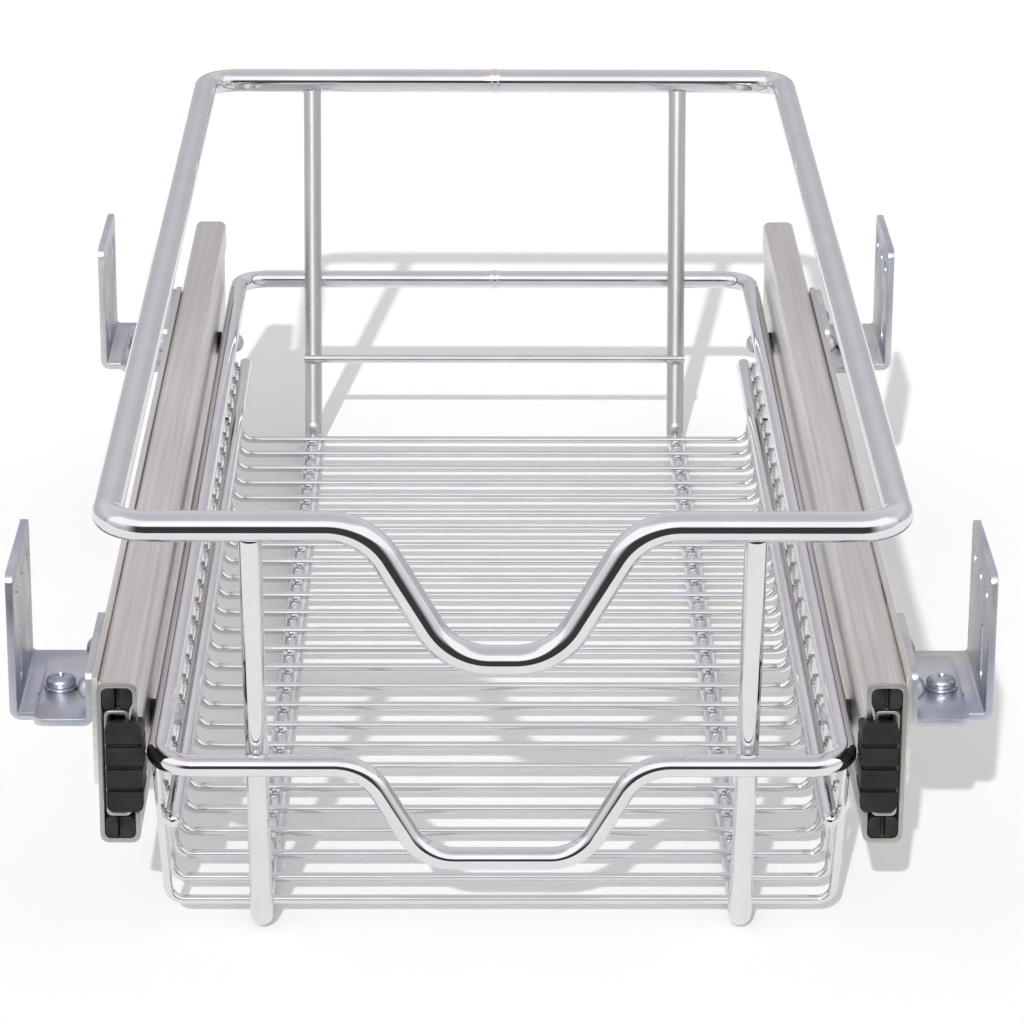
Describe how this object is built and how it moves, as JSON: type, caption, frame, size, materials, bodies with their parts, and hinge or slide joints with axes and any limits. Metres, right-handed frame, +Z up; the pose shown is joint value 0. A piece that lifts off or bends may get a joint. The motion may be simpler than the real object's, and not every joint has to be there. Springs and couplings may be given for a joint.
{
  "type": "pull out cabinet basket",
  "caption": "Chrome wire basket with a dipped hand rail, on ball bearing slides with adjustable brackets that screw to the inner sides of a narrow kitchen cabinet.",
  "frame": {"origin": "under the middle of the basket, on the plane that its two runners stand on", "axes": "+X to the right seen from the front, +Y from the dipped front to the back, +Z up. The basket pulls out towards -Y."},
  "size_m": [0.26, 0.4622, 0.1297],
  "materials": {
    "chrome": "polished",
    "slide_steel": "galvanised",
    "zinc": "zinc plated",
    "black_plastic": "satin",
    "dark_rubber": "matte",
    "ball_steel": "polished"
  },
  "bodies": {
    "cabinet_side": {"left_cabinet_member": "slide_steel", "right_cabinet_member": "slide_steel", "left_front_guides": "black_plastic", "right_front_guides": "black_plastic", "left_rear_stop": "black_plastic", "right_rear_stop": "black_plastic", "left_mount_strip": "slide_steel", "right_mount_strip": "slide_steel", "strip_rivets": "zinc", "left_front_angle": "zinc", "left_rear_angle": "zinc", "right_front_angle": "zinc", "right_rear_angle": "zinc", "left_front_wall_bracket": "zinc", "left_rear_wall_bracket": "zinc", "right_front_wall_bracket": "zinc", "right_rear_wall_bracket": "zinc", "bracket_rivets": "zinc", "bracket_screws": "zinc", "bracket_washers": "zinc", "bracket_nuts": "zinc"},
    "basket": {"upper_rail": "chrome", "lower_ring": "chrome", "left_runner": "chrome", "right_runner": "chrome", "rear_cross_wire": "chrome", "front_end_wire": "chrome", "floor_wires": "chrome", "left_side_bar": "chrome", "right_side_bar": "chrome", "left_slide_tabs": "chrome", "right_slide_tabs": "chrome", "tab_spacers": "black_plastic", "tab_rivets": "zinc", "left_drawer_member": "slide_steel", "right_drawer_member": "slide_steel", "left_bumper": "dark_rubber", "right_bumper": "dark_rubber"},
    "left_middle": {"left_middle_member": "slide_steel"},
    "left_outer_race": {"left_outer_cages": "black_plastic", "left_outer_balls": "ball_steel"},
    "left_inner_race": {"left_inner_cages": "black_plastic", "left_inner_balls": "ball_steel"},
    "right_middle": {"right_middle_member": "slide_steel"},
    "right_outer_race": {"right_outer_cages": "black_plastic", "right_outer_balls": "ball_steel"},
    "right_inner_race": {"right_inner_cages": "black_plastic", "right_inner_balls": "ball_steel"}
  },
  "joints": [
    {"name": "basket_slide", "type": "slide", "parent": "cabinet_side", "child": "basket", "axis": [0, -1, 0], "range_m": [0, 0.4]},
    {"name": "left_outer_race_slide", "type": "slide", "parent": "cabinet_side", "child": "left_outer_race", "axis": [0, -1, 0], "range_m": [0, 0.1]},
    {"name": "left_middle_slide", "type": "slide", "parent": "cabinet_side", "child": "left_middle", "axis": [0, -1, 0], "range_m": [0, 0.2]},
    {"name": "left_inner_race_slide", "type": "slide", "parent": "cabinet_side", "child": "left_inner_race", "axis": [0, -1, 0], "range_m": [0, 0.3]},
    {"name": "right_outer_race_slide", "type": "slide", "parent": "cabinet_side", "child": "right_outer_race", "axis": [0, -1, 0], "range_m": [0, 0.1]},
    {"name": "right_middle_slide", "type": "slide", "parent": "cabinet_side", "child": "right_middle", "axis": [0, -1, 0], "range_m": [0, 0.2]},
    {"name": "right_inner_race_slide", "type": "slide", "parent": "cabinet_side", "child": "right_inner_race", "axis": [0, -1, 0], "range_m": [0, 0.3]}
  ],
  "couplings": [
    {"joint": "left_outer_race_slide", "follows": "basket_slide", "ratio": 0.25},
    {"joint": "left_middle_slide", "follows": "basket_slide", "ratio": 0.5},
    {"joint": "left_inner_race_slide", "follows": "basket_slide", "ratio": 0.75},
    {"joint": "right_outer_race_slide", "follows": "basket_slide", "ratio": 0.25},
    {"joint": "right_middle_slide", "follows": "basket_slide", "ratio": 0.5},
    {"joint": "right_inner_race_slide", "follows": "basket_slide", "ratio": 0.75}
  ]
}
